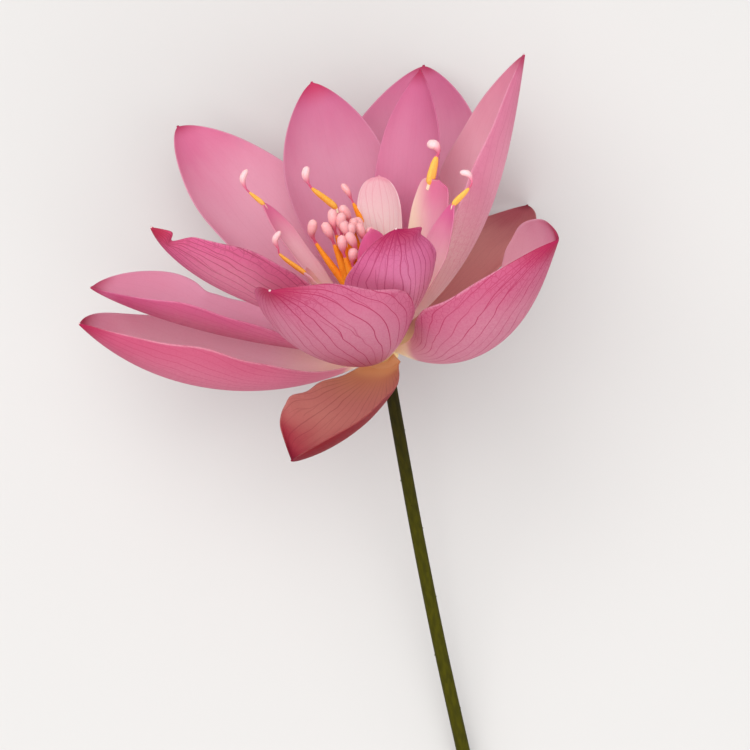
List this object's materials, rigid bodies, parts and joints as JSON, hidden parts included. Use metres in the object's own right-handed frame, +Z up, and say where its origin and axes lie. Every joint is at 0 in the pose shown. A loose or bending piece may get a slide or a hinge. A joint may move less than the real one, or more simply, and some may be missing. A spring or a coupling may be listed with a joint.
{
  "type": "lotus flower",
  "caption": "Open pink lotus flower with layered cupped petals, petal-like stamens and an orange tuft at its heart, picked with bare stalk and lying down.",
  "frame": {"origin": "centre of the bounding box, on the surface that the flower lies on", "axes": "+Z up from the surface; the head points to +Y and the cut stalk to -Y; the flower's own axis rises from the surface"},
  "size_m": [0.1338, 0.2414, 0.1288],
  "materials": {
    "petal": "soft satin, paler and cream towards the base",
    "dusky_petal": "soft satin, ageing to tan",
    "petaloid": "soft satin, cream with pink margins",
    "stamens": "matt, powdery",
    "receptacle": "matt, fresh green-yellow",
    "stalk": "satin, olive green"
  },
  "bodies": {
    "root": {"petal_inner_back": "petal", "petal_inner_back_right": "petal", "petal_inner_front": "petal", "petal_inner_right": "petal", "petal_outer_back_left": "petal", "petal_outer_back_right": "dusky_petal", "petal_outer_front": "dusky_petal", "petal_outer_left": "petal", "petal_second_front": "petal", "petal_second_left": "petal", "petal_second_right": "petal", "petal_third_back_left": "petal", "petal_third_back_right": "petal", "petal_third_left": "petal", "petaloid_back_left": "petaloid", "petaloid_cream": "petaloid", "petaloid_left_long": "petaloid", "petaloid_left_short": "petaloid", "petaloid_low": "petaloid", "petaloid_right": "petaloid", "petaloid_tall_right": "petaloid", "receptacle": "receptacle", "stalk": "stalk", "stamens": "stamens"}
  },
  "joints": []
}
